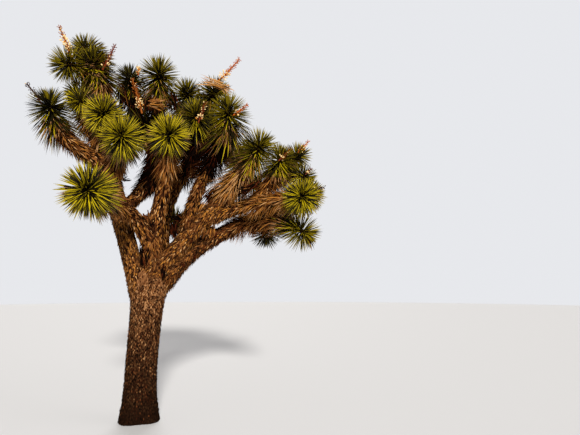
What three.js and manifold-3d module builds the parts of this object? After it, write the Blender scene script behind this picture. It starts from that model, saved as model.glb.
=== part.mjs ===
// A Joshua tree (Yucca brevifolia), in millimetres, with +Z up.
// The origin is the middle of the flat cut under the trunk, at ground level, and -Y is the tree's front.
// Every limb is one bent, tapering round solid, and every rosette of leaves is one closed, uneven solid.
import * as THREE from "three";
import { mergeVertices } from "three/addons/utils/BufferGeometryUtils.js";
import Module from "manifold-3d";

const wasm = await Module();
wasm.setup();

// Faceting and fit
const LIMB_SIDES = 7;
const RING_STEP = 360; // along a limb, between two rings
const FEWEST_RINGS = 3;
const FACET = 100; // about the width of a rosette's facets
const GAP = 0.4; // the clearance left where a piece is cut to fit round another
const MERGE = 0.001; // corners that are nearer than this are one

// The trunk: its waist, the root flare at the ground, and the shoulder where it forks
const TRUNK_HEIGHT = 1520;
const TRUNK_WAIST = 172;
const ROOT_FLARE = 62;
const ROOT_FLARE_HEIGHT = 190;
const SHOULDER = 34;
const SHOULDER_HEIGHT = 240;
const TRUNK_RINGS = 10;
const TRUNK_PATH = [
  [0, 0, 0],
  [0, 0, 620],
  [50, 0, TRUNK_HEIGHT],
];

// Each bough leaves the inside of its parent at its path's first point and ends where it enters a rosette. The radii
// are at its two ends, over the dead leaves that clothe it.
const BOUGHS = {
  left_stem: {
    radii: [108, 104],
    path: [[-50, 0, 1390], [-205, 0, 1950], [-345, 0, 2450], [-490, 10, 2930]],
  },
  middle_stem: { radii: [128, 108], path: [[60, 0, 1400], [90, -20, 1780], [60, -40, 2060]] },
  low_right_bough: {
    radii: [130, 72],
    path: [[100, 0, 1400], [500, 20, 1900], [920, 0, 2160], [1320, 40, 2360]],
  },
  right_stem: { radii: [112, 86], path: [[90, -20, 1650], [660, -170, 2300], [1080, -330, 2870]] },
  low_front_bough: {
    radii: [98, 72],
    path: [[60, -40, 1980], [-80, -200, 2200], [-260, -550, 2340], [-480, -1000, 2380]],
  },
  centre_bough: {
    radii: [100, 80],
    path: [[70, -40, 1960], [120, -130, 2350], [180, -270, 2740], [190, -380, 3130]],
  },
  far_left_bough: {
    radii: [100, 82],
    path: [[-450, 0, 2840], [-660, -20, 3000], [-850, -30, 3110], [-1020, -20, 3270]],
  },
  top_left_bough: {
    radii: [104, 74],
    path: [[-480, 20, 2860], [-610, 50, 3240], [-670, 80, 3560], [-630, 100, 3920]],
  },
  left_front_shoot: { radii: [82, 66], path: [[-430, 0, 2780], [-360, -190, 2970], [-310, -370, 3070]] },
  left_mid_shoot: { radii: [74, 62], path: [[-600, 50, 3180], [-560, -50, 3330], [-530, -160, 3380]] },
  rear_centre_bough: {
    radii: [86, 66],
    path: [[-320, 20, 2380], [-20, 250, 2780], [60, 370, 3350], [60, 360, 3990]],
  },
  rear_left_shoot: { radii: [66, 56], path: [[40, 350, 3200], [-170, 450, 3650], [-260, 520, 3980]] },
  inner_right_bough: {
    radii: [80, 66],
    path: [[470, -120, 2080], [510, -70, 2480], [660, 40, 2880], [900, 0, 3370]],
  },
  rear_right_bough: {
    radii: [92, 62],
    path: [[170, 80, 1900], [215, 240, 2520], [480, 320, 3060], [700, 340, 3850]],
  },
  rear_top_shoot: { radii: [66, 56], path: [[500, 300, 2960], [450, 500, 3500], [450, 580, 3880]] },
  right_bough: {
    radii: [88, 66],
    path: [[690, -190, 2320], [1200, -300, 2490], [1500, -330, 2560], [1690, -420, 2560]],
  },
  right_upper_shoot: { radii: [72, 60], path: [[1230, -300, 2500], [1410, -280, 2720], [1500, -220, 2870]] },
  far_right_shoot: { radii: [58, 50], path: [[1430, -260, 2740], [1660, -60, 2900], [1760, 60, 3060]] },
  low_right_shoot: { radii: [68, 58], path: [[1270, 30, 2300], [1480, -50, 2350], [1670, -140, 2270]] },
  low_rear_shoot: { radii: [60, 50], path: [[1250, 50, 2290], [1460, 280, 2350], [1610, 430, 2450]] },
  back_centre_bough: {
    radii: [94, 62],
    path: [[90, 30, 1700], [110, 450, 2350], [160, 720, 2850], [150, 1000, 3480]],
  },
  back_right_bough: {
    radii: [84, 60],
    path: [[480, -60, 2080], [740, 300, 2370], [1100, 580, 2700], [1330, 930, 3270]],
  },
  back_left_bough: {
    radii: [88, 60],
    path: [[-290, 20, 2240], [-380, 350, 2630], [-530, 600, 3070], [-760, 850, 3580]],
  },
};

// Each rosette bursts round a point beyond its bough. Reach is the length of its leaves, and clad is how far older
// leaves clothe the stem behind that point.
const ROSETTES = {
  low_front: { on: "low_front_bough", at: [-535, -1250, 2370], reach: 285, clad: 60 },
  far_left: { on: "far_left_bough", at: [-1150, 0, 3570], reach: 260, clad: 220 },
  top_left: { on: "top_left_bough", at: [-710, 80, 4180], reach: 270, clad: 190 },
  top_left_side: { on: "top_left_bough", at: [-990, 150, 4180], reach: 265, clad: 110 },
  top_left_rear: { on: "top_left_bough", at: [-850, 350, 4490], reach: 230, clad: 320 },
  left_rear: { on: "top_left_bough", at: [-920, 400, 3930], reach: 195, clad: 30 },
  left_small: { on: "top_left_bough", at: [-800, -60, 3650], reach: 215, clad: 30 },
  left_mid: { on: "left_mid_shoot", at: [-525, -350, 3430], reach: 250, clad: 60 },
  left_front: { on: "left_front_shoot", at: [-310, -590, 3110], reach: 270, clad: 70 },
  centre: { on: "centre_bough", at: [190, -570, 3180], reach: 270, clad: 80 },
  centre_dark: { on: "rear_centre_bough", at: [-90, 400, 3600], reach: 300, clad: 90 },
  top_centre: { on: "rear_centre_bough", at: [60, 350, 4280], reach: 290, clad: 170 },
  top_centre_left: { on: "rear_left_shoot", at: [-310, 550, 4250], reach: 240, clad: 120 },
  top_rear: { on: "rear_top_shoot", at: [450, 600, 4150], reach: 270, clad: 70 },
  inner_right: { on: "rear_right_bough", at: [540, 60, 3650], reach: 285, clad: 220 },
  top_right: { on: "rear_right_bough", at: [800, 340, 4110], reach: 260, clad: 90 },
  right_high: { on: "inner_right_bough", at: [925, -50, 3700], reach: 295, clad: 230 },
  inner_small: { on: "rear_right_bough", at: [370, 300, 2330], reach: 165, clad: 20 },
  right_shoulder: { on: "right_stem", at: [1250, -400, 3160], reach: 280, clad: 150 },
  right_mid: { on: "right_upper_shoot", at: [1580, -200, 3090], reach: 250, clad: 140 },
  right_far: { on: "far_right_shoot", at: [1920, 150, 3260], reach: 225, clad: 80 },
  right_small: { on: "far_right_shoot", at: [1935, -100, 2930], reach: 190, clad: 90 },
  right_front: { on: "right_bough", at: [1740, -640, 2550], reach: 255, clad: 80 },
  right_tip: { on: "right_bough", at: [1950, -290, 2660], reach: 225, clad: 50 },
  low_right: { on: "low_right_shoot", at: [1870, -210, 2190], reach: 265, clad: 110 },
  low_rear: { on: "low_rear_shoot", at: [1580, 460, 2240], reach: 190, clad: 30 },
  gap_rear: { on: "back_right_bough", at: [1400, 500, 2920], reach: 170, clad: 60 },
  back_left: { on: "back_left_bough", at: [-900, 1000, 3930], reach: 230, clad: 160 },
  back_left_inner: { on: "back_left_bough", at: [-560, 1080, 3880], reach: 240, clad: 80 },
  back_low_left: { on: "back_left_bough", at: [-610, 800, 2860], reach: 220, clad: 60 },
  back_centre: { on: "back_centre_bough", at: [-50, 1140, 3740], reach: 245, clad: 70 },
  back_centre_right: { on: "back_centre_bough", at: [340, 1170, 3790], reach: 245, clad: 70 },
  back_inner: { on: "rear_top_shoot", at: [630, 800, 3620], reach: 240, clad: 40 },
  back_right: { on: "back_right_bough", at: [1120, 1150, 3560], reach: 245, clad: 80 },
  back_far_right: { on: "back_right_bough", at: [1500, 1060, 3560], reach: 240, clad: 110 },
  back_low_right: { on: "low_rear_shoot", at: [1780, 620, 2620], reach: 240, clad: 60 },
};

// The unevenness of a rosette, as two swells over its ball, and how its tail narrows and meets the stem
const LUMPS = [
  { share: 0.06, waves: [4.1, 2.3, 3.2] },
  { share: 0.04, waves: [2.9, 6.1, 5.3] },
];
const TAIL_NARROWING = 0.3;
const SHALLOWEST = 0.88; // of its reach, where the ball's swells dip furthest
const SEAT = 25; // how deep a rosette is let in over its stem

// Finishes
const BARK = new THREE.MeshStandardMaterial({ color: 0x6b4f33, roughness: 0.95, metalness: 0 });
const THATCH = new THREE.MeshStandardMaterial({ color: 0x8c6336, roughness: 0.9, metalness: 0 });
const LEAF = new THREE.MeshStandardMaterial({ color: 0x7f8f22, roughness: 0.55, metalness: 0 });

const vector = (point) => new THREE.Vector3(...point);
const spineOf = (path) => new THREE.CatmullRomCurve3(path.map(vector), false, "centripetal");

// A round solid along a curve: a cylinder whose rings are moved onto the curve, each with its own radius. Extra grows
// it all round and past both of its ends.
function limbGeometry(curve, rings, radiusAt, extra) {
  const geometry = new THREE.CylinderGeometry(1, 1, 1, LIMB_SIDES, rings);
  const frames = curve.computeFrenetFrames(rings);
  const corners = geometry.attributes.position;
  const corner = new THREE.Vector3();
  for (let i = 0; i < corners.count; i++) {
    corner.fromBufferAttribute(corners, i);
    const ring = Math.round((corner.y + 0.5) * rings);
    const along = ring / rings;
    const radius = radiusAt(along) + extra;
    const past = ring === 0 ? -extra : ring === rings ? extra : 0;
    const spot = curve
      .getPointAt(along)
      .addScaledVector(frames.tangents[ring], past)
      .addScaledVector(frames.normals[ring], corner.x * radius)
      .addScaledVector(frames.binormals[ring], -corner.z * radius);
    corners.setXYZ(i, spot.x, spot.y, spot.z);
  }
  return geometry;
}

// The trunk swells at its foot and again under the fork, and both of its ends are cut level.
function trunkGeometry(extra) {
  const radiusAt = (along) => {
    const height = along * TRUNK_HEIGHT;
    const flare = ROOT_FLARE * Math.exp(-height / ROOT_FLARE_HEIGHT);
    const shoulder = SHOULDER * Math.exp((height - TRUNK_HEIGHT) / SHOULDER_HEIGHT);
    return TRUNK_WAIST + flare + shoulder;
  };
  const geometry = limbGeometry(spineOf(TRUNK_PATH), TRUNK_RINGS, radiusAt, extra);
  const corners = geometry.attributes.position;
  const halfRing = TRUNK_HEIGHT / TRUNK_RINGS / 2;
  for (let i = 0; i < corners.count; i++) {
    const height = corners.getZ(i);
    if (height > TRUNK_HEIGHT - halfRing) corners.setZ(i, TRUNK_HEIGHT + extra);
    if (height < halfRing) corners.setZ(i, -extra);
  }
  return geometry;
}

function boughGeometry({ path, radii }, extra) {
  const curve = spineOf(path);
  const rings = Math.max(FEWEST_RINGS, Math.round(curve.getLength() / RING_STEP));
  return limbGeometry(curve, rings, (along) => THREE.MathUtils.lerp(...radii, along), extra);
}

// The point of a bough's axis that is nearest to a place: its tip, or its side where a rosette sits on the side.
function nearestOnBough({ path }, place) {
  const points = spineOf(path).getSpacedPoints();
  return points.reduce((best, point) => (point.distanceTo(place) < best.distanceTo(place) ? point : best));
}

// How far a rosette reaches in one direction, in terms of its leaves' length. Each rosette has its own turn of the
// swells, so that no two are alike.
function unevenness({ x, y, z }, turn) {
  return LUMPS.reduce((sum, { share, waves: [along, across, up] }) => {
    return sum + share * Math.sin(along * x + turn) * Math.sin(across * y + 2 * turn) * Math.cos(up * z);
  }, 1);
}

// A rosette is an uneven ball, drawn out and narrowed backwards along its stem by the older leaves.
function rosetteGeometry({ at, reach, clad, on }, turn, extra) {
  const heart = vector(at);
  const stem = nearestOnBough(BOUGHS[on], heart);
  const axis = heart.clone().sub(stem).normalize();
  const tail = Math.max(clad, heart.distanceTo(stem) + SEAT - SHALLOWEST * reach);
  const geometry = new THREE.OctahedronGeometry(1, Math.round(reach / FACET));
  const corners = geometry.attributes.position;
  const way = new THREE.Vector3();
  for (let i = 0; i < corners.count; i++) {
    way.fromBufferAttribute(corners, i);
    const ahead = way.dot(axis);
    const behind = Math.max(0, -ahead);
    const radius = reach * unevenness(way, turn) + extra;
    const girth = radius * (1 - TAIL_NARROWING * behind);
    const spot = way
      .clone()
      .addScaledVector(axis, -ahead)
      .multiplyScalar(girth)
      .addScaledVector(axis, ahead * radius - behind * tail)
      .add(heart);
    corners.setXYZ(i, spot.x, spot.y, spot.z);
  }
  return geometry;
}

// A closed geometry as a solid that can be cut.
function solidOf(geometry) {
  geometry.deleteAttribute("normal");
  geometry.deleteAttribute("uv");
  const merged = mergeVertices(geometry, MERGE);
  return new wasm.Manifold(
    new wasm.Mesh({
      numProp: 3,
      vertProperties: new Float32Array(merged.attributes.position.array),
      triVerts: new Uint32Array(merged.index.array),
    }),
  );
}

function meshOf(solid, name, material) {
  const { vertProperties, triVerts } = solid.getMesh();
  const geometry = new THREE.BufferGeometry();
  geometry.setAttribute("position", new THREE.BufferAttribute(vertProperties, 3));
  geometry.setIndex(new THREE.BufferAttribute(triVerts, 1));
  geometry.computeVertexNormals();
  const mesh = new THREE.Mesh(geometry, material);
  mesh.name = name;
  return mesh;
}

// Each piece is cut to fit round the pieces placed before it, and its largest body is kept.
const tree = new THREE.Group();
const placed = [];

function place(name, material, geometryWith) {
  const cut = placed.reduce((body, grown) => body.subtract(grown), solidOf(geometryWith(0)));
  const [whole] = cut.decompose().sort((a, b) => b.volume() - a.volume());
  placed.push(solidOf(geometryWith(GAP)));
  tree.add(meshOf(whole, name, material));
}

place("trunk", BARK, trunkGeometry);
for (const [name, bough] of Object.entries(BOUGHS)) {
  place(name, THATCH, (extra) => boughGeometry(bough, extra));
}
Object.entries(ROSETTES).forEach(([name, rosette], turn) => {
  place(`rosette_${name}`, LEAF, (extra) => rosetteGeometry(rosette, turn, extra));
});

export default tree;
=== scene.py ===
"""A joshua tree: a corky trunk that forks into limbs clothed in dead leaves, with round heads of daggers.

Lengths are in metres and angles in degrees, in the frame's own axes: +Z up, and -Y towards the camera.
"""
from types import SimpleNamespace

import bpy
import numpy as np
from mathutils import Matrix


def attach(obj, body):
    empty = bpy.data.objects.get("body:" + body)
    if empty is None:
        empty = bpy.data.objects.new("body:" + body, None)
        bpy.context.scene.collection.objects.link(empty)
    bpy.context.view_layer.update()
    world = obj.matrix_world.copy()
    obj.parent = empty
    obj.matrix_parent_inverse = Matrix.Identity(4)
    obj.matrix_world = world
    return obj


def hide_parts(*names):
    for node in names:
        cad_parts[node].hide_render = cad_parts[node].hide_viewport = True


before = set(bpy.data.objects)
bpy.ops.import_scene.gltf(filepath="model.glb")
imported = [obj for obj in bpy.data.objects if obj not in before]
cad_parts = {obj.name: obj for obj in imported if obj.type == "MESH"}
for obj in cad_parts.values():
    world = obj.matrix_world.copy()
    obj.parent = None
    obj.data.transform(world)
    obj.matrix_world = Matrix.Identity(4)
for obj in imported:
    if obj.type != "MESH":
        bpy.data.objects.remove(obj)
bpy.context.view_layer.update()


# The photographer's place
# The camera is held at eye height in front of the trunk. It looks a little up and past the tree's right
# side, which puts the tree in the left half of the picture.
PICTURE_WIDTH = 580
FOCAL_PIXELS = 470
SENSOR_WIDTH = 36.0
EYE = (0.0, -5.847, 1.5)
TILT_UP = 8.292
TURN_RIGHT = 16.987
lens = bpy.data.cameras.new("camera")
lens.sensor_width = SENSOR_WIDTH
lens.lens = FOCAL_PIXELS / PICTURE_WIDTH * SENSOR_WIDTH
camera = bpy.data.objects.new("camera", lens)
camera.location = EYE
camera.rotation_euler = np.radians((90 + TILT_UP, 0, -TURN_RIGHT))
bpy.context.scene.collection.objects.link(camera)
bpy.context.scene.camera = camera


# The axes of the trunk and boughs
# Each limb is a bent, tapering column of fibrous wood. Flat cuts across its solid in the frame show where
# its axis runs and how thick it is, and its axis is carried on straight into the limb that it grew from.
CUTS = 17
CUT_ENDS = (0.08, 0.95)  # of a bough's solid: outside these a cut may meet one of its ends
TRUNK_CUT_ENDS = (0.004, 0.996)  # the trunk is cut off level, so a level cut meets neither end
TAPER_CUTS = 12  # the last of them, which lie clear of the parent limb
FULLNESS = 1.05  # how much a limb's radius passes the mean radius of its faceted solid
NEAR_ROOT = 0.09  # a bough's own axis is followed from this far outside its parent's
LIMB_STEP = 0.02
FEWEST_STEPS = 4
SLIM_ROOT = 0.6  # of its full radius: the low right bough leaves the trunk sideways and slim,
TURNED_UP = (0.16, 0.34)  # and fills out over this stretch, where it turns up
UP = np.array((0.0, 0.0, 1.0))
OBLIQUE = np.array((0.31, 0.52, 0.79))  # no limb runs this way


def unit(vectors):
    return vectors / np.linalg.norm(vectors, axis=-1, keepdims=True)


def smooth_step(low, high, value):
    share = np.clip((value - low) / (high - low), 0, 1)
    return share * share * (3 - 2 * share)


def section(edges, way, level):
    """The middle and the radius of the outline that a flat cut across a solid shows."""
    heights = edges @ way - level
    crossed = heights[:, 0] * heights[:, 1] < 0
    near, far = edges[crossed, 0], edges[crossed, 1]
    share = heights[crossed, 0] / (heights[crossed, 0] - heights[crossed, 1])
    rim = near + (far - near) * share[:, None]
    side = unit(np.cross(way, OBLIQUE))
    across = np.array((side, np.cross(way, side)))
    flat = (rim - rim.mean(axis=0)) @ across.T
    flat = flat[np.argsort(np.arctan2(flat[:, 1], flat[:, 0]))]
    following = np.roll(flat, -1, axis=0)
    wedges = (flat[:, 0] * following[:, 1] - flat[:, 1] * following[:, 0]) / 2
    middle = ((flat + following) * wedges[:, None]).sum(axis=0) / (3 * wedges.sum())
    return rim.mean(axis=0) + middle @ across, np.sqrt(wedges.sum() / np.pi)


def limb_on(name, path, radii):
    """A limb with even steps along its axis, and two directions across it that turn as little as can be."""
    spent = np.r_[0, np.cumsum(np.linalg.norm(np.diff(path, axis=0), axis=1))]
    places = np.linspace(0, spent[-1], max(FEWEST_STEPS, round(spent[-1] / LIMB_STEP) + 1))
    axis = np.stack([np.interp(places, spent, column) for column in path.T], axis=1)
    ahead = unit(np.gradient(axis, axis=0))
    side = np.empty_like(axis)
    turned = np.cross(ahead[0], OBLIQUE)
    for k, way in enumerate(ahead):
        turned = unit(turned - way * (turned @ way))
        side[k] = turned
    limb = SimpleNamespace(name=name, places=places, axis=axis, radius=np.interp(places, spent, radii))
    limb.ahead, limb.side, limb.back = ahead, side, np.cross(ahead, side)
    return limb


def solid_edges(name):
    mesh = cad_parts[name].data
    corners = np.array([corner.co for corner in mesh.vertices])
    return corners[np.array([edge.vertices for edge in mesh.edges])]


def bough_in_frame(name, fork):
    """A bough as its solid in the frame shows it, from its root, which is its end nearer to the fork."""
    edges = solid_edges(name)
    ends = edges.reshape(-1, 3)
    way = np.linalg.svd(ends - ends.mean(axis=0), full_matrices=False)[2][0]
    outer = ends[[np.argmin(ends @ way), np.argmax(ends @ way)]]
    if np.argmin(np.linalg.norm(outer - fork, axis=1)) == 1:
        way = -way
    low, high = (ends @ way).min(), (ends @ way).max()
    levels = low + (high - low) * np.linspace(*CUT_ENDS, CUTS)
    middles, radii = map(np.array, zip(*(section(edges, way, level) for level in levels)))
    slopes = np.gradient(middles, levels, axis=0)
    radii = radii / np.sqrt(np.linalg.norm(slopes, axis=1))
    taper = np.polyfit(levels[-TAPER_CUTS:], radii[-TAPER_CUTS:], 1)
    bend = np.polyfit(levels, middles, 3)
    turn = np.polyfit(levels, slopes, 2)
    wanted = np.linspace(low, high, CUTS * 2)
    within = np.clip(wanted, levels[0], levels[-1])
    path = np.vander(within, 4) @ bend + (wanted - within)[:, None] * (np.vander(within, 3) @ turn)
    return limb_on(name, path, FULLNESS * np.polyval(taper, wanted))


def trunk_in_frame():
    edges = solid_edges("trunk")
    foot, top = edges[..., 2].min(), edges[..., 2].max()
    levels = foot + (top - foot) * np.linspace(*TRUNK_CUT_ENDS, CUTS)
    middles, radii = map(np.array, zip(*(section(edges, UP, level) for level in levels)))
    middles[[0, -1], 2] = foot, top
    return limb_on("trunk", middles, FULLNESS * radii)


def rooted(bough, others):
    """The bough with its axis carried on to the axis of the limb that it grew from."""
    spots = np.concatenate([other.axis for other in others])
    foot = spots[np.argmin(np.linalg.norm(spots - bough.axis[0], axis=1))]
    clear = np.argmax(np.linalg.norm(bough.axis - foot, axis=1) > NEAR_ROOT)
    path = np.vstack((foot, bough.axis[clear:]))
    return limb_on(bough.name, path, np.r_[bough.radius[clear], bough.radius[clear:]])


trunk = trunk_in_frame()
bough_names = [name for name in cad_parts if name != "trunk" and not name.startswith("rosette_")]
loose = [bough_in_frame(name, trunk.axis[-1]) for name in bough_names]
boughs = {}
for bough in loose:
    others = [other for other in loose if other is not bough]
    boughs[bough.name] = rooted(bough, [trunk, *others])
low_bough = boughs["low_right_bough"]
low_bough.radius *= SLIM_ROOT + (1 - SLIM_ROOT) * smooth_step(*TURNED_UP, low_bough.places)


# The trunk's bark
# Thick corky bark, split into upright plates with deep cracks between them, painted dark as shade most of
# all at the foot, which is darker as well, partly in the bark's own colour and partly as painted shade. It
# is one skin from the flat cut at the ground to the fork, and it fills the corners where the limbs leave
# the trunk.
TRUNK_SIDES = 240
TRUNK_ROW = 0.0075
TRUNK_PLATE = (0.042, 0.0175)  # height and width
TRUNK_RELIEF = 0.012
FILLET = 0.018  # the reach of the bark that fills a corner between two limbs
MOST_SWELL = 1.45  # of a limb's own radius
NEIGHBOUR_REACH = 0.45
NEIGHBOUR_STEPS = 4  # of a limb's axis in each straight stretch that its neighbours are measured from
GROWING_ROUNDS = 5
FEWEST_ROWS, FEWEST_PLATES = 4, 6
FLARE_LOBES = (3, 5)
FLARE_DEPTH = (0.07, 0.04)
FLARE_HEIGHT = 0.3
TOP_DEPTH = 0.8  # of the trunk's full depth, at the fork, where the limbs stand side by side
NARROWING = (0.95, 1.5)  # the heights between which it gets there
PLATE_SQUARENESS = 2.4
# Where in its cell a plate's middle may lie, upwards and round the limb: from where, and over how much
PLATE_STRAY = ((0.1, 0.8), (0.15, 0.7))
LEAN_SHIFT = 0.2  # the share of the plates that stand off at their top: the others do at their foot
WANDERS = ((0.35, 1.3, 0.7), (0.25, 0.45, -0.31))  # waves in the plates' rows: size, pace up, pace round
WANDER_SHARE = 0.8
PLATE_RISE = (0.55, 0.35, 0.5)  # of any plate, and more of it with its own tone and with its lean
CRACK_EDGE = (0.08, 0.5)
DOME_ROWS = 9  # of corners, over the rounded end of a limb
DOME_TURN = 84  # how far they go on towards the limb's axis
STRIP_SHARE = 0.98  # of the room for a skin on the flat map, so that strips don't touch
GRAIN = (150.0, 4.0, 0.6)  # its fineness, detail and roughness
SLITS = (62.0, 3.0, 0.55)
PATCHES = (6.0, 4.0, 0.6)
PATCH_TONES = (0.9, -0.45)  # how far the patches spread the plates' tones, and their shift
DRAWN_OUT = 0.72  # how far grain and slits are drawn out along the limb
SLIT_EDGE = (0.38, 0.52)
FOOT_HEIGHTS = (0.1, 1.7)  # between them the painted shade fades, from the foot and from the cracks
# the colour that the foot darkens to: partly the bark's own darker foot and partly painted shade
FOOT_SHADE = (0.009, 0.0035, 0.0015)
BARK_ROUGHNESS = (0.8, 1.0)
BARK_SHINE = 0.03
BARK_BUMP = dict(Strength=0.6, Distance=0.004)
# depth: the cracks' painted shade, lightened upwards by fade; foot: the darker foot, partly painted shade
TRUNK_BARK = dict(light=(172, 120, 76), dark=(108, 64, 34), depth=(16, 5, 2), foot=0.97, fade=0.65)
chance = np.random.default_rng(2256)
body = "root"


def depth_at(height):
    """The trunk's depth as a share of its breadth."""
    return 1 - (1 - TOP_DEPTH) * smooth_step(*NARROWING, height)


def clearance(spots, crowd):
    """How far places lie outside a crowd of limbs, with the corners between the limbs filled in."""
    nearness = np.zeros(spots.shape[:-1])
    for starts, ends, radii in crowd:
        gap = np.full(spots.shape[:-1], np.inf)
        for start, end, (near, far) in zip(starts, ends, radii):
            run = end - start
            share = np.clip((spots - start) @ run / (run @ run), 0, 1)
            distance = np.linalg.norm(spots - start - share[..., None] * run, axis=-1)
            gap = np.minimum(gap, distance - near - share * (far - near))
        nearness += np.exp(-gap / FILLET)
    return -FILLET * np.log(nearness + 1e-12)


def crowd_round(limb, others):
    """The stretches of other limbs that lie near a limb."""
    crowd = []
    for other in others:
        stops = np.unique(np.r_[np.arange(0, len(other.axis), NEIGHBOUR_STEPS), len(other.axis) - 1])
        starts, ends = other.axis[stops[:-1]], other.axis[stops[1:]]
        radii = np.stack((other.radius[stops[:-1]], other.radius[stops[1:]]), axis=1)
        middles = (starts + ends) / 2
        gaps = np.linalg.norm(middles[:, None] - limb.axis[None, ::NEIGHBOUR_STEPS], axis=-1).min(axis=1)
        near = gaps < NEIGHBOUR_REACH
        if near.any():
            crowd.append((starts[near], ends[near], radii[near]))
    return crowd


def grown_together(middles, ways, radius, crowd):
    """How far from its axis a limb's skin lies once it has grown together with its neighbours."""
    out = radius.copy()
    for _ in range(GROWING_ROUNDS):
        spots = middles + ways * out[..., None]
        out = np.clip(out - clearance(spots, crowd), radius, radius * MOST_SWELL)
    return out


def plates(rows, columns, height, girth):
    """The pattern of cracked bark: how far each place is from a crack, and its plate's tone and lean."""
    seeds = chance.random((rows + 5, columns, 4))
    stagger = chance.random(columns)
    nearest = np.full(height.shape, 9.0)
    second = nearest.copy()
    tone = np.zeros(height.shape)
    lean = np.zeros(height.shape)
    row, column = np.floor(height).astype(int), np.floor(girth).astype(int)
    (low, tall), (left, wide) = PLATE_STRAY
    for i in (-2, -1, 0, 1):
        for j in (-1, 0, 1):
            beside = (column + j) % columns
            seed = seeds[np.clip(row + i + 2, 0, rows + 4), beside]
            rise = row + i + stagger[beside] + low + tall * seed[..., 0] - height
            run = column + j + left + wide * seed[..., 1] - girth
            gap = np.abs(rise) ** PLATE_SQUARENESS + np.abs(run) ** PLATE_SQUARENESS
            gap = gap ** (1 / PLATE_SQUARENESS)
            nearer = gap < nearest
            second = np.where(nearer, nearest, np.minimum(second, gap))
            nearest = np.where(nearer, gap, nearest)
            tone = np.where(nearer, seed[..., 2], tone)
            lean = np.where(nearer, rise * (seed[..., 3] - LEAN_SHIFT), lean)
    return smooth_step(*CRACK_EDGE, second - nearest), tone, lean


def skin(limb, sides, row, crowd, plate, relief, dome_rows=DOME_ROWS):
    """A limb's bark as a grid of corners wrapped round it, with its end rounded off."""
    rows = max(FEWEST_ROWS, round(limb.places[-1] / row))
    share = np.linspace(0, limb.places[-1], rows + 1)
    axis, ahead, side, back = (
        np.stack([np.interp(share, limb.places, column) for column in values.T], axis=1)
        for values in (limb.axis, limb.ahead, limb.side, limb.back)
    )
    radius = np.interp(share, limb.places, limb.radius)
    rise = np.radians(np.linspace(0, DOME_TURN, dome_rows + 1)[1:])
    tip = np.repeat([-1], dome_rows)
    turn = np.arange(sides) / sides * 2 * np.pi
    round_about = side[:, None] * np.cos(turn)[:, None] + back[:, None] * np.sin(turn)[:, None]
    rising = rise[:, None, None]
    dome = round_about[tip] * np.cos(rising) + ahead[tip][:, None] * np.sin(rising)
    ways = np.concatenate((round_about, dome))
    middles = np.concatenate((axis, axis[tip]))[:, None]
    reach = np.concatenate((radius, radius[tip]))[:, None] + np.zeros(sides)
    out = grown_together(middles, ways, reach, crowd)
    columns = max(FEWEST_PLATES, round(2 * np.pi * radius.mean() / plate[1]))
    spent = np.concatenate((share, share[-1] + radius[-1] * rise))
    height = spent[:, None] / plate[0] + np.zeros(sides)
    girth = turn / (2 * np.pi) * columns + np.zeros((len(spent), 1))
    wander = sum(size * np.sin(height * up + girth * across) for size, up, across in WANDERS)
    girth = (girth + wander * WANDER_SHARE) % columns
    crack, tone, lean = plates(int(height.max()) + 1, columns, height, girth)
    plain, by_tone, by_lean = PLATE_RISE
    out = out + relief * (crack * (plain + by_tone * tone + by_lean * lean) - plain)
    corners = middles + ways * out[..., None]
    along = np.concatenate((ahead, ahead[tip]))[:, None] + np.zeros((sides, 1))
    made = SimpleNamespace(corners=corners, crack=crack, tone=tone, along=along)
    made.length, made.girth = spent[-1], 2 * np.pi * radius.mean()
    return made


def grid_faces(rows, sides, first=0):
    """Quads round a grid of corners, and a many-sided face across each of its ends."""
    here = first + np.arange(rows * sides).reshape(rows, sides)
    right = np.roll(here, -1, axis=1)
    quads = np.stack((here[:-1], right[:-1], right[1:], here[1:]), axis=-1).reshape(-1, 4)
    return quads, here[0][::-1], here[-1]


def make_piece(name, corners, faces, flat_map, finishes, replaced, tones=None, marks=None):
    """A mesh from arrays: faces is a list of arrays, each with faces of one number of corners.

    Tones are the faces' finishes. Marks are values at the corners, which bark has: it is smooth as well.
    """
    faces = [np.atleast_2d(group) for group in faces]
    sizes = np.concatenate([np.full(len(group), group.shape[1]) for group in faces])
    loops = np.concatenate([group.ravel() for group in faces]).astype(np.int32)
    mesh = bpy.data.meshes.new(name)
    mesh.vertices.add(len(corners))
    mesh.vertices.foreach_set("co", corners.astype(np.float32).ravel())
    mesh.loops.add(len(loops))
    mesh.loops.foreach_set("vertex_index", loops)
    mesh.polygons.add(len(sizes))
    mesh.polygons.foreach_set("loop_start", np.r_[0, np.cumsum(sizes)[:-1]].astype(np.int32))
    mesh.polygons.foreach_set("use_smooth", np.full(len(sizes), marks is not None))
    for finish in finishes:
        mesh.materials.append(finish)
    if tones is not None:
        mesh.polygons.foreach_set("material_index", tones.astype(np.int32))
    for mark, values in (marks or {}).items():
        kind, field = ("FLOAT", "value") if values.ndim == 1 else ("FLOAT_VECTOR", "vector")
        attribute = mesh.attributes.new(mark, kind, "POINT")
        attribute.data.foreach_set(field, values.astype(np.float32).ravel())
    mesh.uv_layers.new(name="OFBake").uv.foreach_set("vector", flat_map.astype(np.float32).ravel())
    mesh.update(calc_edges=True)
    mesh.validate()
    piece = bpy.data.objects.new(name, mesh)
    bpy.context.scene.collection.objects.link(piece)
    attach(piece, body)
    if replaced:
        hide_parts(*replaced)


def node_in(tree, kind, **values):
    """A shader node with its settings, and with inputs by name or as in0, in1 and so on, set or linked."""
    node = tree.nodes.new(kind)
    for name, value in values.items():
        if hasattr(node, name):
            setattr(node, name, value)
            continue
        socket = node.inputs[int(name[2:]) if name.startswith("in") else name.replace("_", " ")]
        if isinstance(value, bpy.types.NodeSocket):
            tree.links.new(value, socket)
        else:
            socket.default_value = value
    return node


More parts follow.
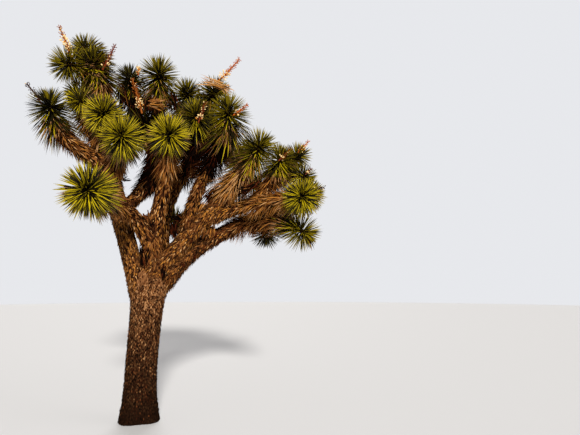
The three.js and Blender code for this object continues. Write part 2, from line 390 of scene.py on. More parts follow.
def maths(tree, operation, *values, clamp=False):
    """The result of a sum on numbers and outputs."""
    inputs = {f"in{k}": value for k, value in enumerate(values)}
    return node_in(tree, "ShaderNodeMath", operation=operation, use_clamp=clamp, **inputs).outputs[0]


def vector_maths(tree, operation, **inputs):
    return node_in(tree, "ShaderNodeVectorMath", operation=operation, **inputs).outputs


def ranged(tree, value, start, end, low=0.0, high=1.0):
    """An output drawn out, so that start and end come to low and high and nothing passes them."""
    inputs = dict(Value=value, in1=start, in2=end, in3=low, in4=high)
    return node_in(tree, "ShaderNodeMapRange", **inputs).outputs[0]


def noise(tree, place, scale, detail, roughness=0.5):
    inputs = dict(Vector=place, Scale=scale, Detail=detail, Roughness=roughness)
    return node_in(tree, "ShaderNodeTexNoise", **inputs).outputs[0]


def colour_mix(tree, factor, first, second):
    """The result of mixing two colours, each a plain one or an output."""
    mix = tree.nodes.new("ShaderNodeMix")
    mix.data_type = "RGBA"
    for socket, value in zip((mix.inputs[0], mix.inputs[6], mix.inputs[7]), (factor, first, second)):
        if isinstance(value, bpy.types.NodeSocket):
            tree.links.new(value, socket)
        else:
            socket.default_value = (*value, 1)
    return mix.outputs[2]


def node_group(name, inputs, outputs):
    """A node group and its two ends. Its inputs and outputs are given as names with kinds of socket."""
    group = bpy.data.node_groups.new(name, "ShaderNodeTree")
    for way, sockets in (("INPUT", inputs), ("OUTPUT", outputs)):
        for socket, kind in sockets.items():
            group.interface.new_socket(socket, in_out=way, socket_type="NodeSocket" + kind)
    return group, group.nodes.new("NodeGroupInput").outputs, group.nodes.new("NodeGroupOutput").inputs


def linear(red, green, blue):
    """A colour as a screen shows it, each part from 0 to 255, as the light that it sends back."""
    shown = np.array((red, green, blue)) / 255
    return tuple(np.where(shown <= 0.04045, shown / 12.92, ((shown + 0.055) / 1.055) ** 2.4))


def bark_group():
    """Cracked bark: plates of many browns, painted shade in the cracks that fades upwards, and a darker
    foot.

    The foot is darker partly in the bark's own colour and partly as painted shade.
    """
    shares = dict.fromkeys(("Crack", "Plate", "Foot Shade", "Crack Fade"), "Float")
    colours = dict.fromkeys(("Light Plate", "Dark Plate", "Depth Colour"), "Color")
    shown = {"Color": "Color", "Roughness": "Float", "Height": "Float"}
    group, given, made = node_group("cracked_bark", {**shares, **colours, "Along": "Vector"}, shown)
    place = node_in(group, "ShaderNodeTexCoord").outputs["Object"]
    along = given["Along"]
    drawn = maths(group, "MULTIPLY", vector_maths(group, "DOT_PRODUCT", in0=place, in1=along)[1], DRAWN_OUT)
    shift = vector_maths(group, "SCALE", in0=along, Scale=drawn)[0]
    fibre_place = vector_maths(group, "SUBTRACT", in0=place, in1=shift)[0]
    grain = noise(group, fibre_place, *GRAIN)
    solid = ranged(group, noise(group, fibre_place, *SLITS), *SLIT_EDGE)
    weathered = maths(group, "MULTIPLY_ADD", noise(group, place, *PATCHES), *PATCH_TONES)
    tone = maths(group, "ADD", given["Plate"], weathered)
    grained = maths(group, "ADD", tone, maths(group, "SUBTRACT", grain, 0.5), clamp=True)
    plate = colour_mix(group, grained, given["Dark Plate"], given["Light Plate"])
    rise = ranged(group, node_in(group, "ShaderNodeSeparateXYZ", Vector=place).outputs["Z"], *FOOT_HEIGHTS)
    whole = maths(group, "MULTIPLY", given["Crack"], solid)
    out_of_crack_shade = maths(group, "MAXIMUM", whole, maths(group, "MULTIPLY", rise, given["Crack Fade"]))
    # The cracks take the depth colour as painted shade, less of it higher up
    cracked = colour_mix(group, out_of_crack_shade, given["Depth Colour"], plate)
    # The foot darkens, partly in the bark's own colour and partly as painted shade
    shade = maths(group, "MULTIPLY", maths(group, "SUBTRACT", 1.0, rise), given["Foot Shade"])
    group.links.new(colour_mix(group, shade, cracked, FOOT_SHADE), made["Color"])
    group.links.new(ranged(group, grain, 0.0, 1.0, *BARK_ROUGHNESS), made["Roughness"])
    group.links.new(maths(group, "ADD", grain, solid), made["Height"])
    return group


cracked_bark = bark_group()


def new_finish(name, shine):
    """A new material, its nodes, and the inputs of its shader."""
    material = bpy.data.materials.new(name)
    material.use_nodes = True
    surface = material.node_tree.nodes["Principled BSDF"].inputs
    surface["Specular IOR Level"].default_value = shine
    return material, material.node_tree, surface


def bark_finish(name, light, dark, depth, foot=0.0, fade=0.0):
    material, tree, surface = new_finish(name, BARK_SHINE)
    bark = node_in(tree, "ShaderNodeGroup", node_tree=cracked_bark, Foot_Shade=foot, Crack_Fade=fade)
    for mark, socket in (("crack", "Crack"), ("tone", "Plate"), ("along", "Along")):
        attribute = node_in(tree, "ShaderNodeAttribute", attribute_name=mark)
        output = "Vector" if mark == "along" else "Fac"
        tree.links.new(attribute.outputs[output], bark.inputs[socket])
    for socket, colour in (("Light Plate", light), ("Dark Plate", dark), ("Depth Colour", depth)):
        bark.inputs[socket].default_value = (*linear(*colour), 1)
    bump = node_in(tree, "ShaderNodeBump", **BARK_BUMP, Height=bark.outputs["Height"])
    tree.links.new(bark.outputs["Color"], surface["Base Color"])
    tree.links.new(bark.outputs["Roughness"], surface["Roughness"])
    tree.links.new(bump.outputs[0], surface["Normal"])
    return material


def bark_piece(name, skins, finish, replaced):
    """Joins skins into one piece. Each skin has an upright strip of the piece's flat map to itself."""
    corners, quads, ends, strips = [], [], [], []
    first, left = 0, 0.0
    breadth = sum(each.girth for each in skins)
    tallest = max(each.length for each in skins)
    for each in skins:
        rows, sides = each.corners.shape[:2]
        around, root, tip = grid_faces(rows, sides, first)
        corners.append(each.corners.reshape(-1, 3))
        quads.append(around)
        ends += [root, tip]
        column, row = np.meshgrid(np.arange(sides), np.arange(rows - 1))
        across = np.stack((column, column + 1, column + 1, column), axis=-1) / sides
        upwards = np.stack((row, row, row + 1, row + 1), axis=-1) / rows
        across = (left + across * each.girth * STRIP_SHARE) / breadth
        upwards = upwards * each.length / tallest
        strips.append(np.stack((across, upwards), axis=-1).reshape(-1, 2))
        left += each.girth
        first += rows * sides
    end_loops = np.zeros((sum(len(end) for end in ends), 2))
    marks = {"along": np.concatenate([each.along.reshape(-1, 3) for each in skins])}
    for mark in ("crack", "tone"):
        marks[mark] = np.concatenate([getattr(each, mark).ravel() for each in skins])
    faces = [np.concatenate(quads), *ends]
    flat_map = np.concatenate([*strips, end_loops])
    make_piece(name, np.concatenate(corners), faces, flat_map, [finish], replaced, marks=marks)


trunk_crowd = crowd_round(trunk, [trunk, *boughs.values()])
trunk_skin = skin(trunk, TRUNK_SIDES, TRUNK_ROW, trunk_crowd, TRUNK_PLATE, TRUNK_RELIEF)
height = trunk_skin.corners[..., 2]
around = np.arange(TRUNK_SIDES) / TRUNK_SIDES * 2 * np.pi
lobes = sum(depth * np.cos(waves * around + waves) for waves, depth in zip(FLARE_LOBES, FLARE_DEPTH))
spread = 1 + lobes * np.exp(-height / FLARE_HEIGHT)
trunk_skin.corners[..., :2] *= spread[..., None]
depth = depth_at(height)
middle = trunk_skin.corners[..., 1].mean(axis=1, keepdims=True)
trunk_skin.corners[..., 1] = middle + (trunk_skin.corners[..., 1] - middle) * depth
trunk_skin.corners[0, :, 2] = 0.0
trunk_bark = bark_finish("trunk_bark", **TRUNK_BARK)
bark_piece("trunk_bark", [trunk_skin], trunk_bark, ["trunk"])


# The limbs' bark
# The same bark on the stems and boughs, in finer flecks that lie along the limb, since the stubs of old
# leaves still show in it. The stems stand bare enough to show it, and on the upper boughs it lies under
# the dead leaves, where it is darker, as painted shade.
STEM_NAMES = ("left_stem", "middle_stem", "low_right_bough", "right_stem")
STEM_SIDES = 80
STEM_ROW = 0.014
STEM_PLATE = (0.036, 0.017)
STEM_RELIEF = 0.011
BOUGH_SIDES = 24
BOUGH_ROW = 0.036
BOUGH_PLATE = (0.05, 0.03)
BOUGH_RELIEF = 0.012
# depth: the cracks' painted shade; the bough bark, on the heads' stems as well, is darker as painted shade
STEM_BARK = dict(light=(118, 76, 42), dark=(58, 31, 14), depth=(12, 4, 2))
BOUGH_BARK = dict(light=(84, 48, 24), dark=(36, 16, 7), depth=(10, 3, 1))
stems = [boughs[name] for name in STEM_NAMES]
upper_boughs = [bough for name, bough in boughs.items() if name not in STEM_NAMES]
slim_trunk = SimpleNamespace(**vars(trunk) | {"radius": trunk.radius * depth_at(trunk.axis[:, 2])})
limbs = [slim_trunk, *boughs.values()]


def skins_of(some_limbs, sides, row, plate, relief):
    return [skin(limb, sides, row, crowd_round(limb, limbs), plate, relief) for limb in some_limbs]


stem_skins = skins_of(stems, STEM_SIDES, STEM_ROW, STEM_PLATE, STEM_RELIEF)
bough_skins = skins_of(upper_boughs, BOUGH_SIDES, BOUGH_ROW, BOUGH_PLATE, BOUGH_RELIEF)
stem_bark = bark_finish("stem_bark", **STEM_BARK)
bough_bark = bark_finish("bough_bark", **BOUGH_BARK)
bark_piece("stem_bark", stem_skins, stem_bark, STEM_NAMES)
bark_piece("bough_bark", bough_skins, bough_bark, [bough.name for bough in upper_boughs])


# The heads' stems
# At the tip of a bough, and from its side, a thinner leafy stem goes on to the heart of each head of
# leaves. It is found from the head's solid in the frame: the ball that fits the solid's front is the
# reach of the leaves.
HEADS_ON = {
    "low_front_bough": ("low_front",),
    "far_left_bough": ("far_left",),
    "top_left_bough": ("top_left", "top_left_side", "top_left_rear", "left_rear", "left_small"),
    "left_mid_shoot": ("left_mid",),
    "left_front_shoot": ("left_front",),
    "centre_bough": ("centre",),
    "rear_centre_bough": ("centre_dark", "top_centre"),
    "rear_left_shoot": ("top_centre_left",),
    "rear_top_shoot": ("top_rear", "back_inner"),
    "rear_right_bough": ("inner_right", "top_right", "inner_small"),
    "inner_right_bough": ("right_high",),
    "right_stem": ("right_shoulder",),
    "right_upper_shoot": ("right_mid",),
    "far_right_shoot": ("right_far", "right_small"),
    "right_bough": ("right_front", "right_tip"),
    "low_right_shoot": ("low_right",),
    "low_rear_shoot": ("low_rear", "back_low_right"),
    "back_right_bough": ("gap_rear", "back_right", "back_far_right"),
    "back_left_bough": ("back_left", "back_left_inner", "back_low_left"),
    "back_centre_bough": ("back_centre", "back_centre_right"),
}
# Heads that turn from their bough's way, and where to
TURNED = {"inner_right": (-0.15, -0.6, 0.78), "top_left": (-0.45, -0.4, 0.8)}
HEAD_STEM_ROOT = 0.7  # of its bough's radius
HEAD_STEM_TIP = 0.03
STEM_PAST_HEART = 0.03
STEM_LEAVING = 0.4  # how far a stem from a bough's side still follows the bough
ELBOW = 0.45  # of the way to the heart, where the stem bends
BALL_BACK = -0.02  # from the middle of a head's solid: corners further back belong to its tail
BALL_RIM = 0.88  # of the ball's radius: corners nearer in belong to the tail as well
FEWEST_ON_RIM = 8
BALL_ROUNDS, RIM_ROUNDS = 3, 8
TIP_STEPS = 4  # of a bough's axis: a stem from these leaves its tip
HEAD_STEM_STEPS = 15
HEAD_STEM_SIDES = 12
HEAD_STEM_ROW = 0.03
HEAD_STEM_DOME = 3  # rows of corners over its end
HEAD_STEM_RELIEF = 0.006


def ball_of(corners, stem):
    """The middle and radius of the ball at the front of a head's solid."""
    axis = unit(corners.mean(axis=0) - stem)
    for _ in range(BALL_ROUNDS):
        front = corners[(corners - corners.mean(axis=0)) @ axis > BALL_BACK]
        rim = front
        for _ in range(RIM_ROUNDS):
            terms = np.c_[2 * rim, np.ones(len(rim))]
            *middle, rest = np.linalg.lstsq(terms, (rim**2).sum(axis=1), rcond=None)[0]
            radius = np.sqrt(rest + np.dot(middle, middle))
            kept = front[np.linalg.norm(front - middle, axis=1) > BALL_RIM * radius]
            if len(kept) < FEWEST_ON_RIM:
                break
            rim = kept
        axis = unit(np.array(middle) - stem)
    return np.array(middle), radius


def head_in_frame(name, bough):
    """A head of leaves: its heart, its reach, and the stem that grows on from the bough to the heart."""
    corners = np.array([corner.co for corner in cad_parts["rosette_" + name].data.vertices])
    middle = corners.mean(axis=0)
    near = np.argmin(np.linalg.norm(bough.axis - middle, axis=1))
    heart, reach = ball_of(corners, bough.axis[near])
    near = np.argmin(np.linalg.norm(bough.axis - heart, axis=1))
    root = bough.axis[near]
    gap = heart - root
    distance = np.linalg.norm(gap)
    at_tip = near > len(bough.axis) - TIP_STEPS
    leaving = bough.ahead[near] if at_tip else unit(bough.ahead[near] * STEM_LEAVING + gap / distance)
    if name in TURNED:
        elbow = heart - unit(np.array(TURNED[name])) * distance * ELBOW
    else:
        elbow = root + leaving * distance * ELBOW
    past = heart + unit(heart - elbow) * STEM_PAST_HEART
    share = np.linspace(0, 1, HEAD_STEM_STEPS)[:, None]
    path = (1 - share) ** 2 * root + 2 * share * (1 - share) * elbow + share**2 * past
    radii = np.linspace(bough.radius[near] * HEAD_STEM_ROOT, HEAD_STEM_TIP, len(path))
    return SimpleNamespace(name=name, heart=heart, reach=reach, stem=limb_on(name, path, radii))


heads = [head_in_frame(name, boughs[on]) for on, names in HEADS_ON.items() for name in names]
head_stem_skins = []
for stem in (head.stem for head in heads):
    crowd = crowd_round(stem, [stem])
    made = skin(stem, HEAD_STEM_SIDES, HEAD_STEM_ROW, crowd, BOUGH_PLATE, HEAD_STEM_RELIEF, HEAD_STEM_DOME)
    head_stem_skins.append(made)
bark_piece("head_stem_bark", head_stem_skins, bough_bark, [])


# The thatch
# Old leaves never fall from a joshua tree: they die, fold back along the limb and wear down to stubs over
# the years. They lie in a spiral, pointing back to the root, long near the heads and short and close at
# the fork.
GOLDEN_TURN = np.radians(137.508)
FLAKE_OUTLINE = ((0.0, 0.75), (0.45, 1.0), (1.0, 0.0))  # a leaf's breadth from its root to its tip
KEELED = np.array(((-1, 0), (1, 0), (0, -0.6)))  # across a leaf: its two edges and its keel
CELL_SHARE = 0.9  # of its cell of the flat map, filled by a part
FIBRE_FINENESS = 160.0
FIBRE_DETAIL = 3.0
FIBRE_BUMP = dict(Strength=0.35, Distance=0.001)
DRY_SURFACE = (0.8, 1.0, 0.04)  # the least and the most roughness, and the shine
UNDERSIDE_LIFT = 22
STUB_SUNK = 0.006
HIDDEN_DEPTH = 0.012  # a leaf that roots deeper inside another limb is left out
STUB_WIDTH = 0.0145
LONG_WIDTH = 0.012
# How single dead leaves differ: by a share of their length, lift and width, in how far they droop, and in
# how far they stand from their place round the limb and slant
DEAD_LENGTHS, DEAD_LIFTS, DEAD_WIDTHS = (0.6, 1.25), (0.4, 1.6), (0.7, 1.2)
DEAD_DROOPS, DEAD_STRAY, DEAD_SLANT = (0.02, 0.2), 0.3, 0.22
THATCH = {
    "bleached_thatch": (178, 134, 86),
    "golden_thatch": (158, 104, 42),
    "tan_thatch": (126, 80, 39),
    "brown_thatch": (86, 48, 19),
    "red_brown_thatch": (62, 23, 6),
    # near black: painted shade among and behind the dead leaves
    "dark_thatch": (11, 3, 1),
}
# The share of each tone of thatch, in the order above, by how much light a limb stands in: most of these
# mixes paint light and shade onto the same dead leaves
GOLDEN_MIX = (0.5, 0.42, 0.08, 0.0, 0.0, 0.0)
GLOWING_MIX = (0.16, 0.32, 0.3, 0.12, 0.05, 0.05)
MANE_MIX = (0.32, 0.26, 0.12, 0.08, 0.06, 0.16)
LIT_MIX = (0.09, 0.21, 0.3, 0.22, 0.08, 0.1)
STEM_MIX = (0.16, 0.28, 0.42, 0.1, 0.02, 0.02)
DIM_MIX = (0.02, 0.07, 0.3, 0.34, 0.13, 0.14)
PLAIN_MIX = (0.08, 0.12, 0.32, 0.28, 0.08, 0.12)
SHADED_MIX = (0.0, 0.0, 0.01, 0.04, 0.14, 0.81)


def dry_fibre_group():
    """A leaf's fibre as fine noise: a height and a spread of roughness."""
    inputs = dict.fromkeys(("Fineness", "Smoothest", "Roughest"), "Float")
    group, given, made = node_group("leaf_fibre", inputs, {"Roughness": "Float", "Height": "Float"})
    place = node_in(group, "ShaderNodeTexCoord").outputs["Object"]
    fibre = noise(group, place, given["Fineness"], FIBRE_DETAIL)
    rough = ranged(group, fibre, 0.0, 1.0, given["Smoothest"], given["Roughest"])
    group.links.new(rough, made["Roughness"])
    group.links.new(fibre, made["Height"])
    return group


leaf_fibre = dry_fibre_group()


def leaf_finish(name, colour, smoothest, roughest, shine):
    """A plain colour, because each leaf has its own, under a fibrous surface."""
    material, tree, surface = new_finish(name, shine)
    surface["Base Color"].default_value = (*linear(*colour), 1)
    spread = dict(Smoothest=smoothest, Roughest=roughest)
    fibre = node_in(tree, "ShaderNodeGroup", node_tree=leaf_fibre, Fineness=FIBRE_FINENESS, **spread)
    bump = node_in(tree, "ShaderNodeBump", **FIBRE_BUMP, Height=fibre.outputs["Height"])
    tree.links.new(fibre.outputs["Roughness"], surface["Roughness"])
    tree.links.new(bump.outputs[0], surface["Normal"])
    return material


def finishes_of(colours, smoothest, roughest, shine):
    return [leaf_finish(name, colour, smoothest, roughest, shine) for name, colour in colours.items()]


def sweeps(roots, ways, facing, lengths, widths, bends, outline, section):
    """Closed, pointed parts: the section's corners at each station of the outline, and one at the tip.

    Returns their corners, one row for each part, and the faces and the flat map of one part.
    """
    rows = []
    for share, breadth in outline:
        middle = roots + ways * (lengths * share)[:, None] + bends * share**2
        ahead = unit(ways * lengths[:, None] + 2 * share * bends)
        side = unit(np.cross(ahead, facing))
        top = np.cross(side, ahead)
        half = (widths * breadth / 2)[:, None, None]
        ring = half * (side[:, None] * section[:, :1] + top[:, None] * section[:, 1:])
        rows.append(middle[:, None] + (ring if breadth else ring[:, :1]))
    sides = len(section)
    strip = CELL_SHARE / sides
    faces = [(0, k + 1, k) for k in range(1, sides - 1)]
    flat = [((0, 0), (CELL_SHARE, 0), (strip, 0))] * len(faces)
    for k in range(len(outline) - 1):
        low, high = outline[k][0] * CELL_SHARE, outline[k + 1][0] * CELL_SHARE
        for corner in range(sides):
            a, b = sides * k + corner, sides * k + (corner + 1) % sides
            left, right = corner * strip, (corner + 1) * strip
            if k == len(outline) - 2:
                faces.append((a, b, sides * (k + 1)))
                flat.append(((left, low), (right, low), ((left + right) / 2, high)))
                continue
            faces += [(a, b, b + sides), (a, b + sides, a + sides)]
            flat += [((left, low), (right, low), (right, high)), ((left, low), (right, high), (left, high))]
    return np.concatenate(rows, axis=1), np.array(faces), np.array(flat)


class Sheaf:
    """Small parts gathered to be joined into one piece. Each has a cell of the flat map to itself."""

    def __init__(self):
        self.corners, self.faces, self.flats, self.tones, self.count = [], [], [], [], 0

    def add(self, corners, faces, flat, tones):
        """Corners has a row for each part, and tones a number for each part or for every face of each."""
        parts, size = corners.shape[:2]
        starts = self.count + size * np.arange(parts)
        self.corners.append(corners.reshape(-1, 3))
        self.faces.append((starts[:, None, None] + faces).reshape(-1, 3))
        self.flats += [flat] * parts
        tones = np.asarray(tones).reshape(parts, -1)
        self.tones.append(np.broadcast_to(tones, (parts, len(faces))).ravel())
        self.count += parts * size

    def piece(self, name, finishes, slot, replaced=()):
        cells = int(np.ceil(np.sqrt(len(self.flats))))
        spots = [(flat + divmod(k, cells)) / cells for k, flat in enumerate(self.flats)]
        corners, faces, tones = map(np.concatenate, (self.corners, self.faces, self.tones))
        flat_map = np.concatenate(spots).reshape(-1, 2)
        make_piece(name, corners, [faces], flat_map, finishes, replaced, tones=tones)


def tones_dealt(odds):
    """A tone for each part, by the odds of each tone in the part's row."""
    return (chance.random((len(odds), 1)) > np.cumsum(odds, axis=1)).sum(axis=1).clip(0, odds.shape[1] - 1)


def outward(limb, here, turn):
    """The ways out of a limb at steps of its axis, each turned round it."""
    return limb.side[here] * np.cos(turn)[:, None] + limb.back[here] * np.sin(turn)[:, None]


def thatch_on(sheaf, limb, others, mixes, spacing, stub, long, shaggy):
    """A limb's dead leaves, in a spiral from its root to its tip.

    Mixes are the odds of each tone among the worn leaves and among the fresh ones, and stub and long are
    their length and lift. Shaggy is how far from the limb's tip the fresh ones begin to turn to worn ones,
    and where all are worn.
    """
    area = 2 * np.pi * limb.radius.mean() * limb.places[-1]
    count = int(area / spacing**2)
    share = (np.arange(count) + chance.random(count)) / count
    turn = np.arange(count) * GOLDEN_TURN + chance.normal(0, DEAD_STRAY, count)
    here = np.minimum((share * (len(limb.axis) - 1)).round().astype(int), len(limb.axis) - 1)
    out = outward(limb, here, turn)
    slide = (share * limb.places[-1] - limb.places[here])[:, None]
    middles = limb.axis[here] + limb.ahead[here] * slide
    radius = grown_together(middles, out, limb.radius[here], crowd_round(limb, [limb, *others]))
    roots = middles + out * (radius - STUB_SUNK)[:, None]
    shown = clearance(roots, crowd_round(limb, others)) >= -HIDDEN_DEPTH
    fresh = 1 - smooth_step(*shaggy, (1 - share) * limb.places[-1])
    length = (stub[0] + (long[0] - stub[0]) * fresh) * chance.uniform(*DEAD_LENGTHS, count)
    lift = (stub[1] + (long[1] - stub[1]) * fresh) * chance.uniform(*DEAD_LIFTS, count)
    below = np.clip(-out[:, 2], 0, 1) * np.hypot(*limb.ahead[here][:, :2].T)
    lift = np.radians(lift + UNDERSIDE_LIFT * below)[:, None]
    width = (STUB_WIDTH + (LONG_WIDTH - STUB_WIDTH) * fresh) * chance.uniform(*DEAD_WIDTHS, count)
    across = np.cross(limb.ahead[here], out) * chance.normal(0, DEAD_SLANT, count)[:, None]
    ways = unit(-limb.ahead[here] * np.cos(lift) + out * np.sin(lift) + across)
    bends = -UP * (length * chance.uniform(*DEAD_DROOPS, count))[:, None]
    given = (values[shown] for values in (roots, ways, out, length, width, bends))
    tones = tones_dealt(np.outer(1 - fresh, mixes[0]) + np.outer(fresh, mixes[1]))
    sheaf.add(*sweeps(*given, FLAKE_OUTLINE, KEELED), tones[shown])


thatch_finishes = finishes_of(THATCH, *DRY_SURFACE)
SIDE_OF = {
    "left": ("left_stem", "far_left_bough", "top_left_bough", "left_mid_shoot", "left_front_shoot"),
    "middle": ("middle_stem", "low_front_bough", "centre_bough"),
    "right": ("right_stem", "inner_right_bough", "right_bough", "right_upper_shoot", "far_right_shoot"),
    "low_right": ("low_right_bough", "low_right_shoot", "low_rear_shoot"),
    "rear": ("rear_centre_bough", "rear_left_shoot", "rear_right_bough", "rear_top_shoot"),
    "back": ("back_centre_bough", "back_right_bough", "back_left_bough"),
}
# The mix of tones among a limb's worn leaves and the mix among its fresh ones, where it isn't plain: each
# paints the light and shade that part of the limb stands in
MIXES_OF = dict.fromkeys(SIDE_OF["right"], (LIT_MIX, LIT_MIX))
MIXES_OF |= dict.fromkeys((*SIDE_OF["rear"], "inner_right_bough"), (PLAIN_MIX, SHADED_MIX))
MIXES_OF |= dict.fromkeys(("middle_stem", "low_right_bough"), (DIM_MIX, DIM_MIX))
MIXES_OF |= {"left_stem": (STEM_MIX, PLAIN_MIX), "right_stem": (LIT_MIX, MANE_MIX)}
MIXES_OF |= {"top_left_bough": (PLAIN_MIX, MANE_MIX), "right_bough": (GLOWING_MIX, GLOWING_MIX)}
# A limb's coat: the room for each leaf, the length and lift of the worn leaves and of the fresh ones, and
# how far from the limb's tip the fresh ones begin to turn to worn ones and where all are worn
CLOTHED = (0.023, (0.052, 15), (0.17, 27), (0.2, 0.5))
STUBBLE = (0.023, (0.046, 14), (0.07, 20), (0.2, 0.5))
COAT_OF = {
    "left_stem": STUBBLE,
    "middle_stem": STUBBLE,
    "far_left_bough": (0.023, (0.052, 15), (0.1, 26), (0.25, 0.5)),
    "top_left_bough": (0.021, (0.05, 15), (0.26, 40), (0.4, 0.62)),
    "low_right_bough": (0.023, (0.056, 18), (0.18, 30), (0.2, 0.45)),
    "low_right_shoot": (0.0215, (0.056, 18), (0.2, 32), (0.3, 0.6)),
    "right_bough": (0.0225, (0.052, 15), (0.18, 28), (0.45, 0.75)),
    "right_stem": (0.0205, (0.05, 15), (0.24, 34), (0.22, 0.42)),
    "inner_right_bough": (0.0195, (0.07, 24), (0.26, 40), (0.42, 0.62)),
    "rear_centre_bough": (0.0205, (0.05, 15), (0.17, 28), (1.15, 1.5)),
    "rear_left_shoot": (0.0205, (0.05, 15), (0.24, 38), (0.5, 0.75)),
    "rear_top_shoot": (0.0205, (0.05, 15), (0.22, 36), (0.5, 0.8)),
    "rear_right_bough": (0.0195, (0.055, 16), (0.27, 42), (0.85, 1.1)),
}
for side, names in SIDE_OF.items():
    sheaf = Sheaf()
    for name in names:
        limb = boughs[name]
        others = [other for other in limbs if other is not limb]
        mixes = MIXES_OF.get(name, (PLAIN_MIX, PLAIN_MIX))
        thatch_on(sheaf, limb, others, mixes, *COAT_OF.get(name, CLOTHED))
    sheaf.piece(side + "_thatch", thatch_finishes, "dead_leaf_thatch")


# The trunk's flakes
# Lower down the stubs of the leaves have weathered to small upright flakes that stand off the bark, fewer
# and darker towards the ground, partly in their own colour and partly as painted shade.
FLAKES = {
    "pale_flake": (162, 118, 78),
    "brown_flake": (124, 80, 46),
    "red_flake": (84, 46, 22),
    "dark_flake": (42, 17, 6),
    # near black: painted shade between the flakes, towards the foot
    "black_flake": (9, 3, 1),
}
# The share of each tone of flake, in the order above, at the fork and at the foot: the run from pale to
# dark is partly the flakes' own weathering and partly painted light and shade
TOP_MIX = np.array((0.5, 0.36, 0.1, 0.03, 0.01))
FOOT_MIX = np.array((0.0, 0.01, 0.08, 0.26, 0.65))
FOOT_MIX_REACH = 3.0  # the power of the height by which the foot's mix gives way to the top's
FLAKE_COUNT = 6600
FLAKE_CROWDING = 0.68  # the lower it is, the more of them stand high up
FLAKE_LENGTH = 0.026
FLAKE_WIDTH = 0.0098
FLAKE_LIFT = 12
FLAKE_FREE = 1.4  # of a flake's length: none is rooted lower, so that none reaches the ground
STANDING_OFF = 0.004
# How single flakes differ: by a share of their lift, length and width, and in place and slant
FLAKE_LIFTS, FLAKE_LENGTHS, FLAKE_WIDTHS = (0.3, 1.7), (0.6, 1.3), (0.7, 1.25)
FLAKE_STRAY, FLAKE_SLANT = 0.2, 0.16
flake_rows, flake_columns = trunk_skin.corners.shape[:2]
level = chance.random(FLAKE_COUNT) ** FLAKE_CROWDING
row = (level * (flake_rows - 1)).astype(int)
turn = (np.arange(FLAKE_COUNT) * GOLDEN_TURN + chance.normal(0, FLAKE_STRAY, FLAKE_COUNT)) % (2 * np.pi)
column = (turn / (2 * np.pi) * flake_columns).astype(int) % flake_columns
spots = trunk_skin.corners[row, column]
across = unit(trunk_skin.corners[row, (column + 2) % flake_columns] - trunk_skin.corners[row, column - 2])
along = unit(trunk_skin.along[row, column])
out = unit(np.cross(across, along))
lift = np.radians(FLAKE_LIFT * chance.uniform(*FLAKE_LIFTS, FLAKE_COUNT))[:, None]
slant = across * chance.normal(0, FLAKE_SLANT, FLAKE_COUNT)[:, None]
ways = -along * np.cos(lift) + out * np.sin(lift) + slant
lengths = FLAKE_LENGTH * chance.uniform(*FLAKE_LENGTHS, FLAKE_COUNT)
widths = FLAKE_WIDTH * chance.uniform(*FLAKE_WIDTHS, FLAKE_COUNT)
still = np.zeros((FLAKE_COUNT, 3))
height = np.clip(spots[:, 2] / spots[:, 2].max(), 0, 1)[:, None] ** FOOT_MIX_REACH
tones = tones_dealt(TOP_MIX * height + FOOT_MIX * (1 - height))
above = spots[:, 2] > FLAKE_FREE * FLAKE_LENGTH
given = (values[above] for values in (spots + out * STANDING_OFF, unit(ways), out, lengths, widths, still))
flakes = Sheaf()
flakes.add(*sweeps(*given, FLAKE_OUTLINE, KEELED), tones[above])
flakes.piece("trunk_flakes", finishes_of(FLAKES, *DRY_SURFACE), "bark")


# The heads of living leaves
# Stiff, straight daggers with a keeled back, clasping the stem in a spiral. The youngest stand up in the
# middle, the rest spread to a ball, and the oldest bend back and turn yellow.
LEAF_OUTLINE = ((0.0, 0.8), (0.35, 1.0), (0.72, 0.85), (1.0, 0.0))
GROOVED = np.array(((0, -0.25), (1, 0.25), (0, -0.75), (-1, 0.25)))  # across it: groove, edge, keel, edge
LEAF_WIDTH = 0.013
LEAVES_FOR_REACH = 1560  # leaves in a head, for each metre of its reach
# By age, from the newest leaf to the oldest: how far back from the heart it grows, its angle to the stem,
# its length as a share of the reach, and how far its tip droops as a share of its length
AGES = (0.0, 0.1, 0.34, 0.58, 1.0)
BEHIND = (-0.05, -0.03, 0.0, 0.04)  # the oldest hang as far down the stem as there is room for
LEAF_ANGLES = (8, 38, 84, 116, 138)
REACHES = (0.66, 0.95, 0.98, 1.02, 1.12)
DROOPS = (0.0, 0.0, 0.02, 0.06, 0.14)
SAG = 0.06  # of the oldest leaf's length, straight down
ROOTED_AT = (0.3, 0.9)  # of the stem's radius, the newest leaf and the oldest
# Heads with longer leaves: how many times as long, up to the first of these ages and at the second
LENGTHENED = {"inner_right": (1.0, 1.4), "right_high": (1.0, 1.4), "low_rear": (1.35, 1.35)}
LENGTHENED_AGES = (0.4, 1)
# How single leaves differ: by a share of their length, droop and width, and in place and angle
LEAF_LENGTHS, LEAF_DROOPS, LEAF_WIDTHS = (0.88, 1.06), (0.5, 1.4), (0.85, 1.1)
LEAF_STRAY, LEAF_TILT = 0.08, 4
HANG_SHARE = 0.85  # of the head's stem that living leaves still hang from
MOST_HANG = 0.27
LEAVES = {
    "bright_leaf": (190, 170, 14),
    "green_leaf": (136, 120, 10),
    "deep_leaf": (82, 73, 8),
    # near black: painted shade between and behind the leaves
    "dark_leaf": (28, 25, 6),
    "yellowing_leaf": (156, 122, 30),
    "withered_leaf": (168, 124, 80),
    "shaded_base": (26, 20, 5),
    "withered_shade": (84, 54, 28),
}
UNDERSIDES = np.array((1, 2, 2, 3, 1, 7, 6, 7))  # the tone of a leaf's underside, by that of its upper side: darker, as painted shade
LOWER_HALVES = np.array((2, 3, 3, 3, 2, 7, 6, 7))  # and of the half of its upper side that faces down, darker as painted shade
